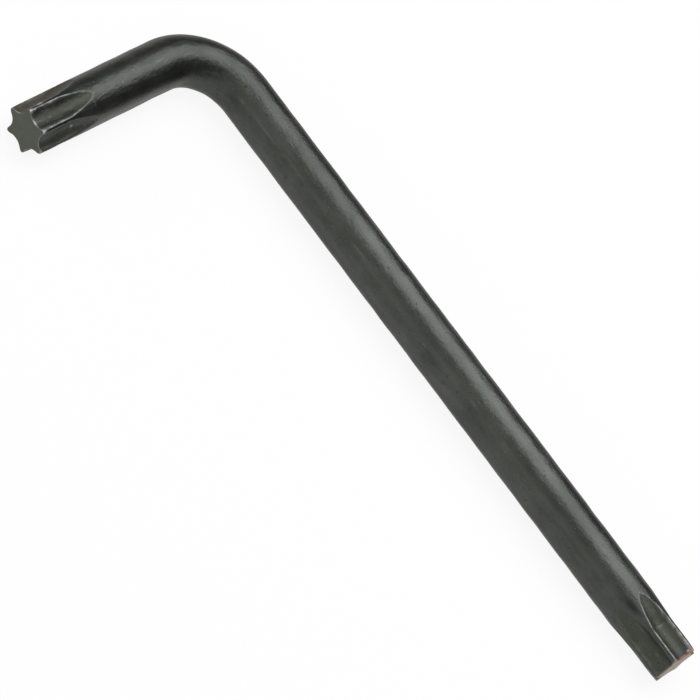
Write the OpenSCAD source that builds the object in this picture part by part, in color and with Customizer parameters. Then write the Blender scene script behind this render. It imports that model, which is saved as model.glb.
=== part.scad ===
// Star key: a round steel bar bent to a right angle, with a six-lobe drive of size 30 at each end.
// It lies flat: the long arm points along +X and the short arm along -Y.
// The origin is under the middle of its overall box.

/* [Bar] */
// Diameter of the round bar
bar_d = 5.7; // [5:0.1:7]
// Overall length of the long arm, from the outside of the bend to its end face
long_len = 86; // [50:0.5:200]
// Overall length of the short arm, from the outside of the bend to its end face
short_len = 30; // [26:0.5:80]
// Radius of the bend on the bar's centre line
bend_r = 7.2; // [4:0.1:12]

/* [Star tips] */
// Size of the star across opposite lobes
lobe_d = 5.55; // [5.2:0.05:5.7]
// Size of the star across the bottoms of opposite flutes
core_d = 4; // [3.85:0.05:4.25]
// Radius of each flute's hollow
flute_r = 1.8; // [1:0.05:1.85]
// Length of a flute at full depth, from the end face
flute_full = 4.2; // [2:0.1:8]
// Length over which a flute runs out to the bar's surface
flute_runout = 3.8; // [1.5:0.1:8]
// Length over which the lobes widen to the bar's diameter
crest_blend = 0.8; // [0.3:0.1:1.5]
// Length of plain bar behind the flutes
tip_collar = 2.4; // [1:0.1:5]
// Turn of the lobes about the bar's axis, from upright
lobe_turn = 23; // [0:1:59]
// Chamfer that breaks the lobes' corners at an end face
end_chamfer = 0.12; // [0.05:0.01:0.4]

/* [Hidden] */
$fn = 96;
steel_black = "#33352f";
// A six-lobe drive
lobes = 6;
lobe_pitch = 360 / lobes;
// How far a cutter reaches past the surface that it cuts
overcut = 1;
// The bar's two centre lines cross here, at the corner that the bend rounds
axis_z = bar_d / 2;
corner_x = bar_d / 2 - long_len / 2;
corner_y = short_len / 2 - bar_d / 2;
// From that corner to each end face and to the root of each tip
tip_len = flute_full + flute_runout + tip_collar;
long_reach = long_len - bar_d / 2;
short_reach = short_len - bar_d / 2;
long_root = long_reach - tip_len;
short_root = short_reach - tip_len;
// Heights in a tip: its flutes start to climb here, at this angle
climb_z = tip_len - flute_full;
flute_depth = (bar_d - core_d) / 2;
climb_angle = atan2(flute_depth, flute_runout);
// Behind that height the lobes keep their own size for this share of the run-out
crest_share = 0.25;
// Then they widen to the bar's diameter, between these heights
crest_top_z = climb_z - crest_share * flute_runout;
crest_foot_z = crest_top_z - crest_blend;
// A flute cutter's two legs meet on its centre line here
flute_at = core_d / 2 + flute_r;
mitre_z = climb_z + flute_r * tan(climb_angle / 2);
mitre_block = 4 * (flute_r + flute_full + flute_runout);

// Sets what it holds on the long arm's centre line: its z runs out along the arm, its x points up
module on_long_arm(start) {
    translate([corner_x + start, corner_y, axis_z])
        rotate([0, 90, 0])
            rotate([0, 0, 180])
                children();
}

// Sets what it holds on the short arm's centre line: its z runs out along the arm, its x points up
module on_short_arm(start) {
    translate([corner_x, corner_y - start, axis_z])
        rotate([90, 0, 0])
            rotate([0, 0, 90])
                children();
}

// All that lies below the plane where a flute cutter's two legs meet
module below_mitre() {
    rotate([0, -climb_angle / 2, 0])
        translate([-mitre_block / 2, -mitre_block / 2, -mitre_block])
            cube(mitre_block);
}

// Cutter for one flute: a straight leg through the end face, mitred to a leg that climbs out of the bar
module flute() {
    translate([flute_at, 0, mitre_z]) {
        difference() {
            translate([0, 0, -flute_r])
                cylinder(r = flute_r, h = flute_r + flute_full + overcut);
            below_mitre();
        }
        intersection() {
            rotate([0, -climb_angle, 0])
                translate([0, 0, -flute_runout - 2 * overcut])
                    cylinder(r = flute_r, h = flute_runout + 2 * overcut + flute_r);
            below_mitre();
        }
    }
}

// The turned end of the bar before its flutes are cut, from its root at z = 0 to its end face
module tip_blank() {
    rotate_extrude()
        polygon([
            [0, 0],
            [bar_d / 2, 0],
            [bar_d / 2, crest_foot_z],
            [lobe_d / 2, crest_top_z],
            [lobe_d / 2, tip_len - end_chamfer],
            [lobe_d / 2 - end_chamfer, tip_len],
            [0, tip_len]
        ]);
}

// A fluted tip, with a lobe turned this far from its x
module star_tip(turn) {
    difference() {
        tip_blank();
        for (k = [0 : lobes - 1])
            rotate([0, 0, turn + (k + 0.5) * lobe_pitch])
                flute();
    }
}

module long_tip() {
    color(steel_black)
        on_long_arm(long_root)
            star_tip(-lobe_turn);
}

module long_arm() {
    color(steel_black)
        on_long_arm(bend_r)
            cylinder(d = bar_d, h = long_root - bend_r);
}

module bend() {
    color(steel_black)
        translate([corner_x + bend_r, corner_y - bend_r, axis_z])
            rotate([0, 0, 90])
                rotate_extrude(angle = 90)
                    translate([bend_r, 0])
                        circle(d = bar_d);
}

module short_arm() {
    color(steel_black)
        on_short_arm(bend_r)
            cylinder(d = bar_d, h = short_root - bend_r);
}

module short_tip() {
    color(steel_black)
        on_short_arm(short_root)
            star_tip(lobe_turn);
}

long_tip();
long_arm();
bend();
short_arm();
short_tip();
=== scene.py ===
"""Looks of the star key: a blackened steel bar bent to an L, with a fluted star tip at each end.

Each of the five stretches of the bar is swept along one shared centre line, so they meet without a step.
Lengths in the shape code are in millimetres, and become metres when a mesh is made.
"""
import math

import bpy
import numpy as np
from mathutils import Matrix, Vector


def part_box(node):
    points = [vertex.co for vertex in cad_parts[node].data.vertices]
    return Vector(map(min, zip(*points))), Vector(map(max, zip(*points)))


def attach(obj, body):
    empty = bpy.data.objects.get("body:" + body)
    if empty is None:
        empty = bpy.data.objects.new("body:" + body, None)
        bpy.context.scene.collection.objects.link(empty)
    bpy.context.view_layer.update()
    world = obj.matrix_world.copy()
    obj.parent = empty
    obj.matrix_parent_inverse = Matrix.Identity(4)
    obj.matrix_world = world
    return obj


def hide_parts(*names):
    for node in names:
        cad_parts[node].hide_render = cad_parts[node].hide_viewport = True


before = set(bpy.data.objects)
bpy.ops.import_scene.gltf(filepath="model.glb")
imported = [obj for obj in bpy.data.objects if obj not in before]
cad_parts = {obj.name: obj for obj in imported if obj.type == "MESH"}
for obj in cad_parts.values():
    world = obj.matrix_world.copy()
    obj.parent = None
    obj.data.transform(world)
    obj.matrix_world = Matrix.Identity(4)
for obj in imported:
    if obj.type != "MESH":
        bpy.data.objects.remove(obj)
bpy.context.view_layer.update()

MM = 0.001


# Where the bar runs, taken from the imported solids

def box_mm(node):
    """Low and high corner of a node's box, in millimetres."""
    low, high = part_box(node)
    return np.array(low) / MM, np.array(high) / MM


arm_low, arm_high = box_mm("long_arm")
leg_low, leg_high = box_mm("short_arm")
LONG_END = box_mm("long_tip")[1][0]
SHORT_END = box_mm("short_tip")[0][1]
BAR_R = (arm_high[2] - arm_low[2]) / 2
AXIS_Z = (arm_high[2] + arm_low[2]) / 2
ARM_Y = (arm_high[1] + arm_low[1]) / 2
LEG_X = (leg_high[0] + leg_low[0]) / 2
BEND_R = arm_low[0] - LEG_X
# Distances along the centre line, from the short tip's end face
S_LEG = leg_low[1] - SHORT_END
S_BEND = leg_high[1] - SHORT_END
S_ARM = S_BEND + BEND_R * math.pi / 2
S_TIP = S_ARM + arm_high[0] - arm_low[0]
S_END = S_ARM + LONG_END - arm_low[0]


def centre_line(s):
    """Centre and outward side of the bar at distances s from the short tip's end face."""
    s = np.asarray(s, float)
    turn = np.clip((s - S_BEND) / BEND_R, 0, math.pi / 2)
    centre = np.stack([
        LEG_X + BEND_R * (1 - np.cos(turn)) + np.maximum(s - S_ARM, 0),
        ARM_Y - BEND_R * (1 - np.sin(turn)) + np.minimum(s - S_BEND, 0),
        np.full_like(s, AXIS_Z),
    ], -1)
    side = np.stack([-np.cos(turn), np.sin(turn), np.zeros_like(s)], -1)
    return centre, side


# The section of a tip

# Sizes as in the part's source, but with lobes as wide as the bar and narrower flutes, for the rounded edges
LOBES = 6
CORE_R = 2.0
FLUTE_R = 1.5
FLUTE_FULL = 4.2
FLUTE_RUNOUT = 3.8
LOBE_TURN = math.radians(23)
SECTOR = 2 * math.pi / LOBES
CLIMB = (BAR_R - CORE_R) / FLUTE_RUNOUT
# Depth at which the flutes have run out
FLUTE_END = FLUTE_FULL + FLUTE_RUNOUT
# Rounding of the edges between lobe and flute, what the end face adds to it, and how far that reaches
EDGE_ROUND = 0.18
END_ROUND = 0.2
END_ROUND_REACH = 0.7
# Least share of that rounding, where a flute runs out
LEAST_ROUND_SHARE = 0.12
# Rounding of the end face's rim
RIM_ROUND = 0.09
# Steps of the search for a tip's radius
HALVINGS = 32


def flute_centre(d):
    """Distance from the bar's axis to a flute's own axis, at depth d behind the end face."""
    return CORE_R + FLUTE_R + np.maximum(d - FLUTE_FULL, 0) * CLIMB


def flute_edge(d):
    """Half the angle that a flute takes from the bar's surface."""
    c = flute_centre(d)
    cos_edge = (BAR_R ** 2 + c * c - FLUTE_R ** 2) / (2 * BAR_R * c)
    return np.arccos(np.clip(cos_edge, -1, 1))


def star_radius(eps, d):
    """Radius of a tip at angle eps from the middle of a flute, and how far the point lies in the flute.

    The edges between lobe and flute are rounded, most at the end face and least where the flute runs out.
    """
    c = flute_centre(d)
    soft = EDGE_ROUND + END_ROUND * np.exp(-(d / END_ROUND_REACH) ** 2)
    soft = soft * np.clip((BAR_R + FLUTE_R - c) / (BAR_R - CORE_R), LEAST_ROUND_SHARE, 1)
    low, high = np.zeros_like(c), np.full_like(c, BAR_R)
    for _ in range(HALVINGS):
        r = (low + high) / 2
        past_crest = r - BAR_R
        past_wall = FLUTE_R - np.sqrt(r * r + c * c - 2 * r * c * np.cos(eps))
        rounding = np.maximum(soft - np.abs(past_crest - past_wall), 0) ** 2 / (4 * soft)
        outside = np.maximum(past_crest, past_wall) + rounding > 0
        low, high = np.where(outside, low, r), np.where(outside, r, high)
    return r, np.clip(0.5 + 0.5 * (past_wall - past_crest) / soft, 0, 1)


# Surface marks, by distance along the bar and angle about it from the top

rng = np.random.default_rng(30)

# Drawn waves: number along a millimetre, number round the bar, and phase
WAVES = 16
WAVE_RATE = (0.1, 0.36)
WAVE_ROUND = (0, 5)
waves = [
    (rng.uniform(*WAVE_RATE), int(rng.integers(*WAVE_ROUND)), rng.uniform(0, 2 * math.pi))
    for _ in range(WAVES)
]
# Their greatest depth, their middle and swing as shares of it, and how they die away near the ends
WAVE_DEPTH = 0.05
WAVE_MIDDLE = 0.28
WAVE_SWING = 0.5
WAVE_FADE = 10
WAVE_AT_ENDS = 0.2

# Small dents: place, angle, reach and depth
DENTS = 150
DENT_MARGIN = 0.5
DENT_REACH = (0.18, 0.5)
DENT_DEPTH = (0.004, 0.014)
dents = [
    (rng.uniform(DENT_MARGIN, S_END - DENT_MARGIN), rng.uniform(0, 2 * math.pi),
     rng.uniform(*DENT_REACH), rng.uniform(*DENT_DEPTH))
    for _ in range(DENTS)
]
# One knock on each lobe's corner: how far behind the end face, and its scatter in that and in angle
CORNER_BEHIND = 0.12
CORNER_SCATTER = 0.05
CORNER_TURN = 0.07
CORNER_REACH = (0.14, 0.22)
CORNER_DEPTH = (0.005, 0.015)
# Knocks along the edges of the flutes, more of them at the short end
SHORT_KNOCKS = 90
LONG_KNOCKS = 4
KNOCKS_BEHIND = (0.3, 7.4)
KNOCK_REACH = (0.09, 0.2)
KNOCK_DEPTH = (0.01, 0.04)
for at_long_end, knocks in ((False, SHORT_KNOCKS), (True, LONG_KNOCKS)):
    for lobe in range(LOBES):
        behind = CORNER_BEHIND + rng.normal(0, CORNER_SCATTER)
        angle = LOBE_TURN + lobe * SECTOR + rng.normal(0, CORNER_TURN)
        place = S_END - behind if at_long_end else behind
        dents.append((place, angle, rng.uniform(*CORNER_REACH), rng.uniform(*CORNER_DEPTH)))
    for _ in range(knocks):
        behind = rng.uniform(*KNOCKS_BEHIND)
        edge = rng.choice([-1, 1]) * float(flute_edge(np.array(behind)))
        angle = LOBE_TURN + (rng.integers(0, LOBES) + 0.5) * SECTOR + edge
        place = S_END - behind if at_long_end else behind
        dents.append((place, angle, rng.uniform(*KNOCK_REACH), rng.uniform(*KNOCK_DEPTH)))

# Bright nicks and rubs, and faint wide patches that are painted highlights and painted reflections: place,
# angle in degrees, reach along, reach round, and how bare
nicks_and_painted_light = [
    # Rim of the short tip's end face: nicks, and painted glints on the lobes' corners
    (0.12, 19, 0.22, 0.18, 1.0), (0.10, -37, 0.22, 0.22, 0.9), (0.16, -93, 0.17, 0.14, 0.9),
    (0.04, -7, 0.10, 0.35, 1.0), (0.05, 53, 0.08, 0.3, 0.3), (0.06, 83, 0.12, 0.2, 0.3),
    # Lobes and flutes of the short tip; the wide patches in the flutes at -67, -64, -70 and 53 degrees are
    # painted reflections
    (1.65, 26, 0.45, 0.14, 1.0), (2.3, 30, 2.6, 0.06, 0.5), (2.9, 18, 0.45, 0.09, 0.8),
    (4.7, -67, 0.14, 0.12, 0.9), (4.5, -67, 0.07, 0.6, 0.25), (7.75, -28, 0.06, 0.4, 0.25),
    (4.6, -67, 3.8, 0.85, 0.09), (1.1, -64, 1.5, 0.7, 0.13), (7.4, -70, 1.6, 0.8, 0.09),
    (4.2, 53, 4.2, 0.85, 0.093),
    # Short arm and bend; the wide patch at -82 degrees is a painted floor reflection on the short arm's lower
    # side, and the faint strips at 16 and 49 degrees are painted reflections
    (13.0, -82, 8.0, 0.6, 0.2), (14.0, 16, 7.0, 0.3, 0.025), (14.0, 49, 7.0, 0.3, 0.035),
    (18.0, -8, 0.5, 0.07, 0.12), (25.3, -51, 0.7, 0.06, 0.14), (25.5, -68, 2.5, 0.7, 0.03),
    (26.4, -48, 0.5, 0.05, 0.12),
    # Long arm; the faint patches, whose amount is a few hundredths, are painted highlights and painted floor
    # reflections, and the others are nicks
    (32.1, -54, 0.45, 0.14, 0.10), (36.2, -52, 1.6, 0.07, 0.10), (41.0, -49, 2.0, 0.06, 0.09),
    (52.6, -48, 1.2, 0.06, 0.10), (60.0, -88, 32.0, 0.8, 0.04), (60.0, -51, 34.0, 0.3, 0.018),
    (62.0, 38, 15.0, 1.1, 0.02), (64.7, -57, 0.2, 0.10, 0.14), (66.0, -6, 18.0, 0.75, 0.032),
    (72.9, -49, 0.8, 0.08, 0.09), (96.5, -14, 3.5, 0.9, 0.03),
    # Long tip
    (101.7, 14, 0.7, 0.08, 0.4), (S_END - 4.9, -55, 0.7, 0.08, 0.12), (S_END - 4.1, -5, 0.10, 0.35, 0.16),
    (S_END - 1.9, -66, 0.25, 0.1, 0.12), (S_END - 0.33, 14, 0.10, 0.09, 1.0),
]
# Dark stains, and wide bands that are painted shade and painted dark reflections: place, angle in degrees,
# reach along, reach round, and how dark
stains_and_painted_shade = [
    # Short tip, short arm and bend; the strips along the short arm at -33, -8 and 37 degrees and the patch on
    # the bend are painted shade
    (3.0, -7, 3.2, 0.8, 0.18), (14.0, 37, 7.0, 0.3, 0.2), (14.0, -33, 7.0, 0.3, 0.3),
    (15.0, -8, 8.0, 1.0, 0.09), (23.3, -15, 3.0, 1.2, 0.12),
    # Long arm; the long band at -111 degrees is painted shade on the lower side, the bands at -29 to -36
    # degrees are stains with a painted dark reflection under the highlight, and the small spots are stains
    (55.0, -33, 0.18, 0.15, 0.4), (61.6, -29, 0.35, 0.22, 0.35), (62.0, -111, 30.0, 0.45, 0.15),
    (62.0, -34, 12.0, 0.45, 0.15), (62.7, -37, 0.4, 0.25, 0.35), (65.1, -34, 0.45, 0.22, 0.35),
    (66.8, -66, 0.3, 0.25, 0.3), (82.0, -36, 5.0, 0.5, 0.35), (87.0, -29, 8.0, 0.3, 0.2),
    (90.0, -36, 4.5, 0.55, 0.45), (96.0, -34, 2.6, 0.45, 0.4),
    # Long tip
    (98.5, -46, 0.5, 0.35, 0.5), (99.6, -39, 1.1, 0.4, 0.9), (100.2, -38, 0.6, 0.33, 1.0),
    (100.9, -34, 0.4, 0.25, 0.45),
]

# Dark mottling and light streaks in the short tip's flutes, this far behind the end face
MOTTLES = 90
STREAKS = 60
MARKS_BEHIND = (0.3, 6.8)
# In degrees: the middle of the first flute beyond the top lobe, the step to the next, and the marks' spread
FIRST_FLUTE = 53
FLUTE_PITCH = 60
FLUTE_SPREAD = 20


def flute_mark(along, around, amount):
    """A mark somewhere in the short tip's flutes, with its reaches and amount drawn from these ranges."""
    place = rng.uniform(*MARKS_BEHIND)
    middle = FIRST_FLUTE + FLUTE_PITCH * int(rng.integers(0, LOBES))
    degrees = middle + rng.uniform(-FLUTE_SPREAD, FLUTE_SPREAD)
    return place, degrees, rng.uniform(*along), rng.uniform(*around), rng.uniform(*amount)


stains_and_painted_shade += [flute_mark(along=(0.2, 0.9), around=(0.08, 0.2), amount=(0.15, 0.55)) for _ in range(MOTTLES)]
nicks_and_painted_light += [flute_mark(along=(0.1, 0.6), around=(0.05, 0.12), amount=(0.03, 0.13)) for _ in range(STREAKS)]


def spot(s, theta, r, s0, degrees, along, around):
    """A soft spot on the bar's surface, 1 at its middle."""
    turn = (theta - math.radians(degrees) + math.pi) % (2 * math.pi) - math.pi
    return np.exp(-((s - s0) / along) ** 2 - (r * turn / around) ** 2)


def strongest(marks, s, theta, r):
    """How strongly the strongest of these marks shows at each point."""
    level = np.zeros_like(r)
    for s0, degrees, along, around, amount in marks:
        level = np.maximum(level, amount * spot(s, theta, r, s0, degrees, along, around))
    return level


def surface_marks(s, theta, r):
    """How far each point is pressed in, how much bare metal and painted light shows there, and how far it is
    stained and painted dark.
    """
    swell = sum(np.cos(2 * math.pi * k * s + m * theta + phase) for k, m, phase in waves)
    level = np.clip(WAVE_MIDDLE + WAVE_SWING * swell / (WAVES / 2), 0, 1)
    depth = WAVE_DEPTH * level * np.clip(np.minimum(s, S_END - s) / WAVE_FADE, WAVE_AT_ENDS, 1)
    for s0, angle, reach, deep in dents:
        depth += deep * spot(s, theta, r, s0, math.degrees(angle), reach, reach)
    return depth, strongest(nicks_and_painted_light, s, theta, r), strongest(stains_and_painted_shade, s, theta, r)


# Meshes

# Edges with a greater turn than this stay sharp
SHARP_ANGLE = math.radians(50)
# Points round a ring of plain bar
RING_POINTS = 144
# Distance between rings
ARM_STEP = 0.3
BEND_STEP = 0.2
# Rings of a tip: over the rim, the flutes' full depth, their run-outs and the collar
RIM_RINGS = 6
FULL_RINGS = 42
RUNOUT_RINGS = 38
COLLAR_RINGS = 12
# Points of a tip's ring: steps over a flute, and shares of the way from its edge to the middle of a lobe
FLUTE_STEPS = 26
LAND_SHARES = (0.07, 0.17, 0.32, 0.55, 0.8)
# Least half angle over which a flute's points are spread, also where it has run out
LEAST_EDGE = math.radians(5)
# Rings of an end face, as shares of its outline
FACE_RINGS = (0.975, 0.9, 0.75, 0.55, 0.3, 0.1)
# How far wear reaches from an edge and past the end of a flute, and how worn the end faces' rims are
WEAR_REACH = 0.09
APEX_REACH = 0.2
RIM_WEAR = 0.6
# Wear of each flute's two edges, set edge by edge with painted glints where an edge catches the light, and the
# share of it that is left where the flutes run out
SHORT_WEAR_AND_GLINT = ((0.9, 0.3), (0.5, 0.5), (0.5, 0.5), (0.5, 0.4), (0.15, 0.5), (0.65, 0.7))
LONG_WEAR_AND_GLINT = ((0.1, 0.4), (0.6, 0.6), (0.6, 0.6), (0.5, 0.3), (0.12, 0.05), (0.85, 0.55))
SHORT_APEX_WEAR = 0.2
LONG_APEX_WEAR = 0.35
# It drops to that share between these depths
WEAR_DROP = (3.0, 6.5)


def add_mesh(name, verts, faces, values, material_ids=None):
    """A smooth mesh object from points in millimetres, with named values at its points."""
    mesh = bpy.data.meshes.new(name)
    mesh.from_pydata((verts * MM).tolist(), [], faces)
    for key, data in values.items():
        kind = "FLOAT_VECTOR" if data.ndim == 2 else "FLOAT"
        attribute = mesh.attributes.new(key, kind, "POINT")
        attribute.data.foreach_set("vector" if data.ndim == 2 else "value", data.astype(np.float32).ravel())
    mesh.polygons.foreach_set("use_smooth", np.ones(len(mesh.polygons), bool))
    if material_ids is not None:
        mesh.polygons.foreach_set("material_index", np.asarray(material_ids, np.int32))
    mesh.set_sharp_from_angle(angle=SHARP_ANGLE)
    mesh.validate()
    obj = bpy.data.objects.new(name, mesh)
    bpy.context.scene.collection.objects.link(obj)
    return obj


def ring_points(s, theta, r):
    """Points of the rings at distances s, with their coordinates on the bar as if it were straight."""
    centre, side = centre_line(s)
    up = r * np.cos(theta)
    out = r * np.sin(theta)
    points = centre[:, None, :] + out[..., None] * side[:, None, :]
    points[..., 2] += up
    straight = np.stack([np.broadcast_to(s[:, None], r.shape), out, up], -1)
    return points, straight


def tube_faces(rings, n, start=0):
    """Quads between rings of n points each, numbered from start."""
    faces = []
    for i in range(rings - 1):
        a, b = start + i * n, start + (i + 1) * n
        for j in range(n):
            k = (j + 1) % n
            faces.append((a + j, b + j, b + k, a + k))
    return faces


def last_ring_face(rings, n):
    """The face that closes the last of the rings of n points each."""
    return tuple(range(rings * n - 1, (rings - 1) * n - 1, -1))


def plain_stretch(name, s_from, s_to, step):
    """A stretch of round bar, closed at both ends."""
    n = RING_POINTS
    count = max(2, round((s_to - s_from) / step)) + 1
    s = np.linspace(s_from, s_to, count)
    theta = np.broadcast_to(np.arange(n) * 2 * math.pi / n, (count, n))
    r = np.full((count, n), BAR_R)
    s_grid = np.broadcast_to(s[:, None], r.shape)
    pressed, bare_and_painted_light, stained_and_shaded = surface_marks(s_grid, theta, r)
    points, straight = ring_points(s, theta, r - pressed)
    faces = tube_faces(count, n)
    faces.append(tuple(range(n)))
    faces.append(last_ring_face(count, n))
    plain = np.zeros(count * n)
    values = {
        "bar": straight.reshape(-1, 3),
        "wear_and_glint": plain,
        "flute": plain,
        "bare_and_painted_light": bare_and_painted_light.ravel(),
        "stain_and_shade": stained_and_shaded.ravel(),
    }
    return add_mesh(name, points.reshape(-1, 3), faces, values)


def tip_angles(d):
    """Angles of a ring's points at depth d: they crowd towards the edges between lobe and flute."""
    edge = max(float(flute_edge(np.array(d))), LEAST_EDGE)
    half = SECTOR / 2
    flute = np.sin(np.linspace(-1, 1, FLUTE_STEPS + 1) * math.pi / 2) * edge
    land = edge + np.array(LAND_SHARES) * (half - edge)
    eps = np.concatenate([flute, land, [half], 2 * half - land[::-1]])
    first = LOBE_TURN + half
    return (first + eps[None, :] + np.arange(LOBES)[:, None] * SECTOR).ravel(), np.tile(eps, LOBES)


def star_tip(name, root_depth, at_long_end, edge_wear_and_glint, apex_wear):
    """A fluted tip from its end face to its root, closed at both ends.

    The edge wear table has the wear of each flute's two edges, with painted glint where an edge catches the
    light, counted outward from the first flute beyond the top lobe.
    apex_wear is the share of it that is left where the flutes run out.
    """
    depths = np.concatenate([
        RIM_ROUND * (1 - np.cos(np.linspace(0, math.pi / 2, RIM_RINGS))),
        np.linspace(RIM_ROUND, FLUTE_FULL, FULL_RINGS)[1:],
        np.linspace(FLUTE_FULL, FLUTE_END, RUNOUT_RINGS)[1:],
        np.linspace(FLUTE_END, root_depth, COLLAR_RINGS)[1:],
    ])
    count = len(depths)
    theta, eps = map(np.array, zip(*(tip_angles(d) for d in depths)))
    n = theta.shape[1]
    d_grid = np.broadcast_to(depths[:, None], theta.shape)
    around = (eps + SECTOR / 2) % SECTOR - SECTOR / 2
    r, in_flute = star_radius(around, d_grid)
    # The rim of the end face is rounded off
    inset = np.maximum(RIM_ROUND - d_grid, 0)
    r = r - (RIM_ROUND - np.sqrt(np.maximum(RIM_ROUND ** 2 - inset ** 2, 0)))
    s = S_END - depths if at_long_end else depths
    s_grid = np.broadcast_to(s[:, None], r.shape)
    pressed, bare_and_painted_light, stained_and_shaded = surface_marks(s_grid, theta, r)
    r = r - pressed
    # Wear, with painted glint, follows the edges round each flute and the rim of the end face
    off_edge = (np.abs(around) - flute_edge(d_grid)) * BAR_R
    past_apex = np.maximum(d_grid - FLUTE_END, 0)
    flute_no = np.rint((theta - around - LOBE_TURN) / SECTOR - 0.5).astype(int) % LOBES
    wear_and_glint = np.array(edge_wear_and_glint)[flute_no, (around > 0).astype(int)]
    wear_and_glint = wear_and_glint * np.exp(-(off_edge / WEAR_REACH) ** 2 - (past_apex / APEX_REACH) ** 2)
    wear_and_glint = wear_and_glint * np.interp(d_grid, WEAR_DROP, [1.0, apex_wear])
    wear_and_glint = np.maximum(wear_and_glint, RIM_WEAR * np.exp(-(d_grid / WEAR_REACH) ** 2))
    points, straight = ring_points(s, theta, r)
    verts, coords = [points.reshape(-1, 3)], [straight.reshape(-1, 3)]
    faces = tube_faces(count, n)
    skin = len(faces)
    # End face: rings that shrink to a middle point
    middle = np.array(centre_line(s[:1])[0][0])
    flat = np.array([s[0], 0.0, 0.0])
    for share in FACE_RINGS:
        verts.append(middle + share * (points[0] - middle))
        coords.append(flat + share * (straight[0] - flat))
    verts.append(middle[None])
    coords.append(flat[None])
    inner = count * n
    last = inner + (len(FACE_RINGS) - 1) * n
    hub = last + n
    for j in range(n):
        k = (j + 1) % n
        faces.append((j, k, inner + k, inner + j))
    faces += [f[::-1] for f in tube_faces(len(FACE_RINGS), n, inner)]
    faces += [(last + j, last + (j + 1) % n, hub) for j in range(n)]
    face_count = len(faces) - skin
    faces.append(last_ring_face(count, n))
    if at_long_end:
        faces = [f[::-1] for f in faces]
    material_ids = [0] * skin + [1] * face_count + [0]
    values = {"bar": np.concatenate(coords)}
    for key, data in {"wear_and_glint": wear_and_glint, "flute": in_flute, "bare_and_painted_light": bare_and_painted_light, "stain_and_shade": stained_and_shaded}.items():
        values[key] = np.concatenate([data.ravel(), np.zeros(hub + 1 - inner)])
    return add_mesh(name, np.concatenate(verts), faces, values, material_ids)


# Materials

class Nodes:
    """Short ways to add and join shader nodes."""

    def __init__(self, tree):
        self.tree = tree
        tree.nodes.clear()

    def add(self, kind, inputs=None, **settings):
        node = self.tree.nodes.new(kind)
        for key, value in settings.items():
            setattr(node, key, value)
        for key, value in (inputs or {}).items():
            self.put(node.inputs[key], value)
        return node

    def put(self, socket, value):
        if isinstance(value, bpy.types.NodeSocket):
            self.tree.links.new(value, socket)
        else:
            socket.default_value = value

    def attribute(self, name, output="Fac"):
        return self.add("ShaderNodeAttribute", attribute_name=name).outputs[output]

    def math(self, operation, a, b=0.0, clamp=False):
        return self.add("ShaderNodeMath", {0: a, 1: b}, operation=operation, use_clamp=clamp).outputs[0]

    def scaled(self, vector, scale):
        return self.add("ShaderNodeVectorMath", {0: vector, 1: scale}, operation="MULTIPLY").outputs[0]

    def along(self, vector, way):
        """How far a vector reaches along a way."""
        node = self.add("ShaderNodeVectorMath", {0: vector, 1: way}, operation="DOT_PRODUCT")
        return node.outputs["Value"]

    def noise(self, vector, scale, detail=3.0, roughness=0.55):
        inputs = {"Vector": vector, "Scale": scale, "Detail": detail, "Roughness": roughness}
        return self.add("ShaderNodeTexNoise", inputs).outputs["Fac"]

    def span(self, value, low, high, to_low=0.0, to_high=1.0):
        """A value between low and high, moved to the same place between to_low and to_high."""
        inputs = {"Value": value, "From Min": low, "From Max": high, "To Min": to_low, "To Max": to_high}
        return self.add("ShaderNodeMapRange", inputs).outputs["Result"]

    def mix(self, factor, a, b, blend="MIX"):
        node = self.add("ShaderNodeMix", data_type="RGBA", blend_type=blend)
        self.put(node.inputs["Factor"], factor)
        colours = [i for i in node.inputs if i.type == "RGBA"]
        self.put(colours[0], a)
        self.put(colours[1], b)
        return [o for o in node.outputs if o.type == "RGBA"][0]

    def tinted(self, factor, colour, tint):
        """A colour that is multiplied by a tint as far as the factor says."""
        return self.mix(factor, colour, self.mix(1.0, colour, tint, "MULTIPLY"))

    def ramp(self, factor, stops):
        node = self.add("ShaderNodeValToRGB", {"Fac": factor})
        ramp = node.color_ramp
        while len(ramp.elements) < len(stops):
            ramp.elements.new(0.5)
        for element, (place, colour) in zip(ramp.elements, stops):
            element.position = place
            element.color = colour
        return node.outputs["Color"]

    def bump(self, height, strength, distance):
        inputs = {"Strength": strength, "Distance": distance, "Height": height}
        return self.add("ShaderNodeBump", inputs).outputs["Normal"]

    def surface(self, inputs):
        """The material's one shader, from its inputs."""
        shader = self.add("ShaderNodeBsdfPrincipled", inputs)
        self.add("ShaderNodeOutputMaterial", {"Surface": shader.outputs[0]})


# The coat on the bar and in the flutes, where it is stained and painted dark, and the tints that it takes, one
# of them a painted warm reflection
COAT_DARK = (0.0430, 0.0447, 0.0411, 1)
COAT_LIGHT = (0.0760, 0.0783, 0.0725, 1)
FLUTE_DARK = (0.051, 0.0525, 0.044, 1)
FLUTE_LIGHT = (0.079, 0.081, 0.067, 1)
COAT_BLACK = (0.017, 0.018, 0.016, 1)
GREENISH = (0.98, 1.02, 0.98, 1)
BROWNISH = (1.05, 0.99, 0.90, 1)
REDDISH = (1.35, 1.16, 1.32, 1)
# The painted warm reflection comes in outward, between these shares of the bar's radius
OUTER_SIDE = (0.3, 0.75)
# The red comes in between these distances from the short end
RED_FADE = (7.5, 5.5)
# How dark a pit is
PIT_DARKNESS = 0.6
# How rough the coat is, what a flute adds to that, and how metallic the coat is
COAT_ROUGH = (0.30, 0.42)
FLUTE_ROUGH = 0.18
COAT_METALLIC = 0.85
# How bare the light specks are at the short end and on the long arm, and where the one gives way to the other
SHORT_SPECKS = 0.4
LONG_SPECKS = 0.16
SPECKS_FADE = (10.0, 30.0)
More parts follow.
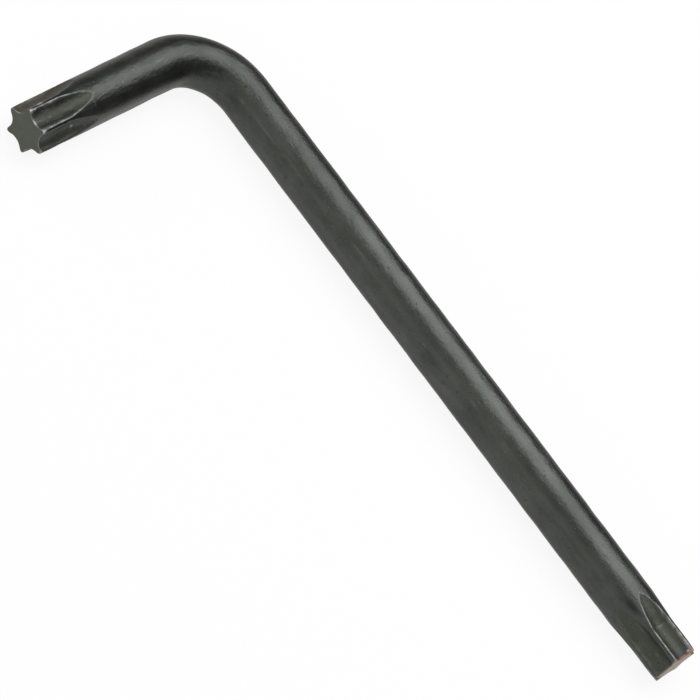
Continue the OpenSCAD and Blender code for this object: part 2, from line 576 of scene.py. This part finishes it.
# Bare metal at worn edges, in nicks and in the painted glints, highlights and reflections; a nick's roughness;
# and how much less metallic it looks
BARE_STEEL_AND_PAINTED_LIGHT = (0.56, 0.56, 0.54, 1)
BARE_ROUGH = 0.58
BARE_DULLING = 0.65
# Edges of a porous coat shine less than bare metal's
EDGE_SHINE = (0.69, 0.69, 0.69, 1)
# Side of the long end where its heat tint is strongest: share of outward and of up
TINT_SIDE = (0.0, 0.26, 0.966)
# How far noise moves the bands of the tint
TINT_WAVER = 0.5
# The tint's colours from the ground end inward: straw, brown, purple, blue, then the plain coat
HEAT_TINT = (
    (0.0, (0.32, 0.23, 0.13, 1)),
    (0.14, (0.30, 0.14, 0.045, 1)),
    (0.30, (0.12, 0.06, 0.055, 1)),
    (0.42, (0.075, 0.045, 0.075, 1)),
    (0.62, (0.055, 0.05, 0.075, 1)),
    (1.0, (0.06, 0.062, 0.062, 1)),
)
# Fine bumps of the coat and of an end face: strength, and depth in metres
COAT_BUMP = (1.0, 0.00007)
FACE_BUMP = (0.2, 0.00005)
# Height of the coat's grain in those bumps, against their wider swell
GRAIN_HEIGHT = 0.35
# End faces: dark and light tone, roughness, and tint of the shine at grazing angles
SAWN_FACE = ((0.070, 0.073, 0.062, 1), (0.094, 0.098, 0.083, 1), 0.45, (0.9, 0.9, 0.86, 1))
GROUND_FACE = ((0.27, 0.235, 0.215, 1), (0.45, 0.41, 0.33, 1), 0.42, (0.66, 0.6, 0.53, 1))
FACE_ROUGH_SPREAD = 0.06
FACE_METALLIC = 0.8


def blackened_steel():
    """Black oxide over drawn steel.

    It is clouded and pitted, matt in the flutes, worn at the edges, and heat-tinted at the long end, with
    painted highlights, reflections and shade in its colour.
    """
    material = bpy.data.materials.new("blackened_steel")
    material.use_nodes = True
    n = Nodes(material.node_tree)
    bar = n.attribute("bar", "Vector")
    axes = n.add("ShaderNodeSeparateXYZ", {0: bar}).outputs
    flute = n.attribute("flute")
    blotch = n.noise(n.scaled(bar, (0.28, 0.75, 0.75)), 1.0, 4.0, 0.6)
    cloud = n.noise(bar, 0.16, 2.0)
    grain = n.noise(bar, 3.2, 3.0, 0.7)
    grit = n.noise(bar, 5.0, 2.0, 0.6)
    scuff = n.noise(n.scaled(bar, (0.8, 2.4, 2.4)), 1.0, 3.0, 0.65)
    tone = n.math("ADD", n.math("MULTIPLY", blotch, 0.55),
                  n.math("ADD", n.math("MULTIPLY", cloud, 0.3), n.math("MULTIPLY", grain, 0.15)))
    tone = n.span(tone, 0.36, 0.64)
    coat = n.mix(flute, n.mix(tone, COAT_DARK, COAT_LIGHT), n.mix(tone, FLUTE_DARK, FLUTE_LIGHT))
    coat = n.tinted(n.span(n.noise(bar, 0.4, 2.0), 0.4, 0.6), coat, GREENISH)
    # Painted warm reflection: a brown tint on the outer side of the short arm and the bend
    outer_side = n.span(axes[1], OUTER_SIDE[0] * BAR_R, OUTER_SIDE[1] * BAR_R)
    outer = n.math("MULTIPLY", outer_side, n.span(axes[0], S_ARM, S_BEND))
    coat = n.tinted(outer, coat, BROWNISH)
    # It is redder in the short tip's outer flutes
    outer_flute = n.math("MULTIPLY", n.math("MULTIPLY", flute, outer), n.span(axes[0], *RED_FADE))
    coat = n.tinted(outer_flute, coat, REDDISH)
    # Dark pits and stains, and painted shade and dark reflections from the stain table
    pit = n.math("MULTIPLY", n.span(n.noise(bar, 1.9, 2.0), 0.36, 0.29), n.span(blotch, 0.45, 0.6))
    stain_and_shade = n.math("MULTIPLY", n.attribute("stain_and_shade"), n.span(scuff, 0.3, 0.55, 0.5, 1.0), clamp=True)
    coat = n.mix(n.math("MAXIMUM", n.math("MULTIPLY", pit, PIT_DARKNESS), stain_and_shade), coat, COAT_BLACK)
    # Light specks where the coat is rubbed, brightest at the short end, which is used most
    speck = n.math("MULTIPLY", n.span(grit, 0.63, 0.74), n.span(scuff, 0.48, 0.6))
    scuffed = n.math("MULTIPLY", speck, n.span(axes[0], *SPECKS_FADE, SHORT_SPECKS, LONG_SPECKS))
    # Worn edges and nicks, with painted glints, highlights and reflections in the same bare metal
    patchy = n.span(n.noise(bar, 1.8, 3.0), 0.36, 0.66, 0.15, 0.85)
    wear_and_glint = n.math("MULTIPLY", n.attribute("wear_and_glint"), patchy, clamp=True)
    bare_and_painted_light = n.math("MULTIPLY", n.attribute("bare_and_painted_light"), n.span(grit, 0.3, 0.55, 0.4, 1.0), clamp=True)
    metal = n.math("MAXIMUM", scuffed, n.math("MAXIMUM", wear_and_glint, bare_and_painted_light))
    # Heat tint near the ground end, in wavering bands
    depth = n.math("SUBTRACT", S_END, axes[0])
    waver = n.math("MULTIPLY", n.noise(bar, 0.9, 2.0), TINT_WAVER)
    lean = n.along(bar, TINT_SIDE)
    away = n.span(lean, 2.6, 1.4, 0.2, 0.4)
    tint = n.ramp(n.math("ADD", n.math("SUBTRACT", depth, waver), away), HEAT_TINT)
    heat = n.math("MULTIPLY", n.span(depth, 0.2, 1.0, 1.0, 0.0), n.span(lean, 1.3, 2.2, 0.15, 0.9))
    # Roughness of the coat, the flutes and the nicks
    uneven = n.math("ADD", n.math("MULTIPLY", blotch, 0.5), n.math("MULTIPLY", grain, 0.5))
    matt = n.math("ADD", n.span(uneven, 0.35, 0.65, *COAT_ROUGH), n.math("MULTIPLY", flute, FLUTE_ROUGH))
    rough = n.math("ADD", matt, n.math("MULTIPLY", bare_and_painted_light, n.math("SUBTRACT", BARE_ROUGH, matt)))
    metallic = n.span(metal, 0.0, 1.0, COAT_METALLIC, 1.0)
    swell = n.noise(n.scaled(bar, (0.7, 1.3, 1.3)), 1.0, 3.0)
    height = n.math("ADD", n.math("MULTIPLY", grain, GRAIN_HEIGHT), swell)
    n.surface({
        "Base Color": n.mix(metal, n.mix(heat, coat, tint), BARE_STEEL_AND_PAINTED_LIGHT),
        "Metallic": n.math("SUBTRACT", metallic, n.math("MULTIPLY", bare_and_painted_light, BARE_DULLING)),
        "Roughness": rough,
        "Specular Tint": EDGE_SHINE,
        "Normal": n.bump(height, *COAT_BUMP),
    })
    return material


def end_metal(name, dark, light, roughness, edge_shine):
    """A cut end face: fine parallel saw and grinding lines across it."""
    material = bpy.data.materials.new(name)
    material.use_nodes = True
    n = Nodes(material.node_tree)
    bar = n.attribute("bar", "Vector")
    lines = n.noise(n.scaled(bar, (1.0, 9.0, 0.7)), 1.0, 4.0, 0.65)
    cloud = n.noise(bar, 0.9, 3.0)
    tone = n.math("ADD", n.math("MULTIPLY", lines, 0.5), n.math("MULTIPLY", cloud, 0.5))
    n.surface({
        "Base Color": n.mix(n.span(tone, 0.35, 0.65), dark, light),
        "Metallic": FACE_METALLIC,
        "Roughness": n.span(cloud, 0.3, 0.7, roughness - FACE_ROUGH_SPREAD, roughness + FACE_ROUGH_SPREAD),
        "Specular Tint": edge_shine,
        "Normal": n.bump(lines, *FACE_BUMP),
    })
    return material


# The pieces, each in place of its solid

steel = blackened_steel()
short_face = end_metal("sawn_steel_blackened", *SAWN_FACE)
long_face = end_metal("ground_steel_bare", *GROUND_FACE)
pieces = {
    "short_tip": star_tip("short_tip_dressed", S_LEG, False, SHORT_WEAR_AND_GLINT, SHORT_APEX_WEAR),
    "short_arm": plain_stretch("short_arm_dressed", S_LEG, S_BEND, ARM_STEP),
    "bend": plain_stretch("bend_dressed", S_BEND, S_ARM, BEND_STEP),
    "long_arm": plain_stretch("long_arm_dressed", S_ARM, S_TIP, ARM_STEP),
    "long_tip": star_tip("long_tip_dressed", S_END - S_TIP, True, LONG_WEAR_AND_GLINT, LONG_APEX_WEAR),
}
for node, piece in pieces.items():
    piece.data.materials.append(steel)
    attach(piece, "root")
    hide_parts(node)
pieces["short_tip"].data.materials.append(short_face)
pieces["long_tip"].data.materials.append(long_face)


# Floor, light and camera

FLOOR_HALF = 2.0
FLOOR_COLOUR = (0.9, 0.9, 0.9, 1)
FLOOR_WHITE = (1, 1, 1, 1)
# How much of the floor's own white shows to the camera and in reflections, over its lit and shaded colour
FLOOR_GLOW_SEEN = 0.9
FLOOR_GLOW_MIRRORED = 0.9
# The sky brightens towards one side, between these cosines of the angle to it
SKY_COLOUR = (0.975, 1.01, 0.955, 1)
SKY_TOWARDS = (-0.5, -0.866, 0.0)
SKY_SPAN = (-0.1, 0.45)
SKY_DARK = 0.06
SKY_BRIGHT = 1.0
SOFTBOX_RADIANCE = 3.2
SOFTBOX_COLOUR = (0.99, 1.0, 1.02)
SOFTBOX_SIZE = (0.66, 0.9)
SOFTBOX_DISTANCE = 0.8
SOFTBOX_AZIMUTH = math.radians(98)
SOFTBOX_ELEVATION = math.radians(65)
# Camera, as measured from the photograph's outline
CAMERA_AIM = Vector((-3.217, 2.486, 2.85)) * MM
CAMERA_DISTANCE = 0.64525
CAMERA_AZIMUTH = math.radians(14.66)
CAMERA_ELEVATION = math.radians(48.42)
CAMERA_ROLL = math.radians(42.0)
CAMERA_ANGLE = math.radians(6.479)
CAMERA_CLIP = 0.01


def pale_floor():
    """A plain white floor that still takes the key's shadow."""
    mesh = bpy.data.meshes.new("floor")
    h = FLOOR_HALF
    mesh.from_pydata([(-h, -h, 0), (h, -h, 0), (h, h, 0), (-h, h, 0)], [], [(0, 1, 2, 3)])
    floor = bpy.data.objects.new("floor", mesh)
    bpy.context.scene.collection.objects.link(floor)
    material = bpy.data.materials.new("pale_floor")
    material.use_nodes = True
    n = Nodes(material.node_tree)
    path = n.add("ShaderNodeLightPath").outputs
    mirrored = n.math("MAXIMUM", path["Is Glossy Ray"], path["Is Transmission Ray"])
    matt = n.add("ShaderNodeBsdfDiffuse", {"Color": FLOOR_COLOUR}).outputs[0]
    glow = n.add("ShaderNodeEmission", {"Color": FLOOR_WHITE, "Strength": 1.0}).outputs[0]
    share = n.math("ADD", n.math("MULTIPLY", path["Is Camera Ray"], FLOOR_GLOW_SEEN),
                   n.math("MULTIPLY", mirrored, FLOOR_GLOW_MIRRORED))
    both = n.add("ShaderNodeMixShader", {0: share, 1: matt, 2: glow}).outputs[0]
    n.add("ShaderNodeOutputMaterial", {"Surface": both})
    mesh.materials.append(material)


def studio_light():
    """A sky that is bright on one side, and one large softbox."""
    world = bpy.data.worlds.new("studio")
    bpy.context.scene.world = world
    world.use_nodes = True
    n = Nodes(world.node_tree)
    way = n.add("ShaderNodeTexCoord").outputs["Generated"]
    level = n.span(n.along(way, SKY_TOWARDS), *SKY_SPAN, SKY_DARK, SKY_BRIGHT)
    sky = n.add("ShaderNodeBackground", {"Color": SKY_COLOUR, "Strength": level}).outputs[0]
    n.add("ShaderNodeOutputWorld", {"Surface": sky})
    lamp = bpy.data.lights.new("softbox", "AREA")
    lamp.shape = "RECTANGLE"
    lamp.size, lamp.size_y = SOFTBOX_SIZE
    lamp.color = SOFTBOX_COLOUR
    lamp.energy = SOFTBOX_RADIANCE * math.pi * SOFTBOX_SIZE[0] * SOFTBOX_SIZE[1]
    softbox = bpy.data.objects.new("softbox", lamp)
    bpy.context.scene.collection.objects.link(softbox)
    flat = math.cos(SOFTBOX_ELEVATION)
    east = math.cos(SOFTBOX_AZIMUTH) * flat
    north = math.sin(SOFTBOX_AZIMUTH) * flat
    place = Vector((east, north, math.sin(SOFTBOX_ELEVATION))) * SOFTBOX_DISTANCE
    softbox.location = place
    softbox.rotation_euler = (-place).to_track_quat("-Z", "Y").to_euler()


def photo_camera():
    """A camera at the photograph's viewing angle."""
    data = bpy.data.cameras.new("camera")
    data.sensor_fit = "HORIZONTAL"
    data.angle = CAMERA_ANGLE
    data.clip_start = CAMERA_CLIP
    camera = bpy.data.objects.new("camera", data)
    bpy.context.scene.collection.objects.link(camera)
    turn = Matrix.Rotation(CAMERA_AZIMUTH, 4, "Z")
    turn = turn @ Matrix.Rotation(math.pi / 2 - CAMERA_ELEVATION, 4, "X")
    turn = turn @ Matrix.Rotation(CAMERA_ROLL, 4, "Z")
    back = turn.to_3x3() @ Vector((0, 0, 1))
    camera.matrix_world = Matrix.Translation(CAMERA_AIM + back * CAMERA_DISTANCE) @ turn
    bpy.context.scene.camera = camera


pale_floor()
studio_light()
photo_camera()
bpy.context.scene.view_settings.view_transform = "Standard"
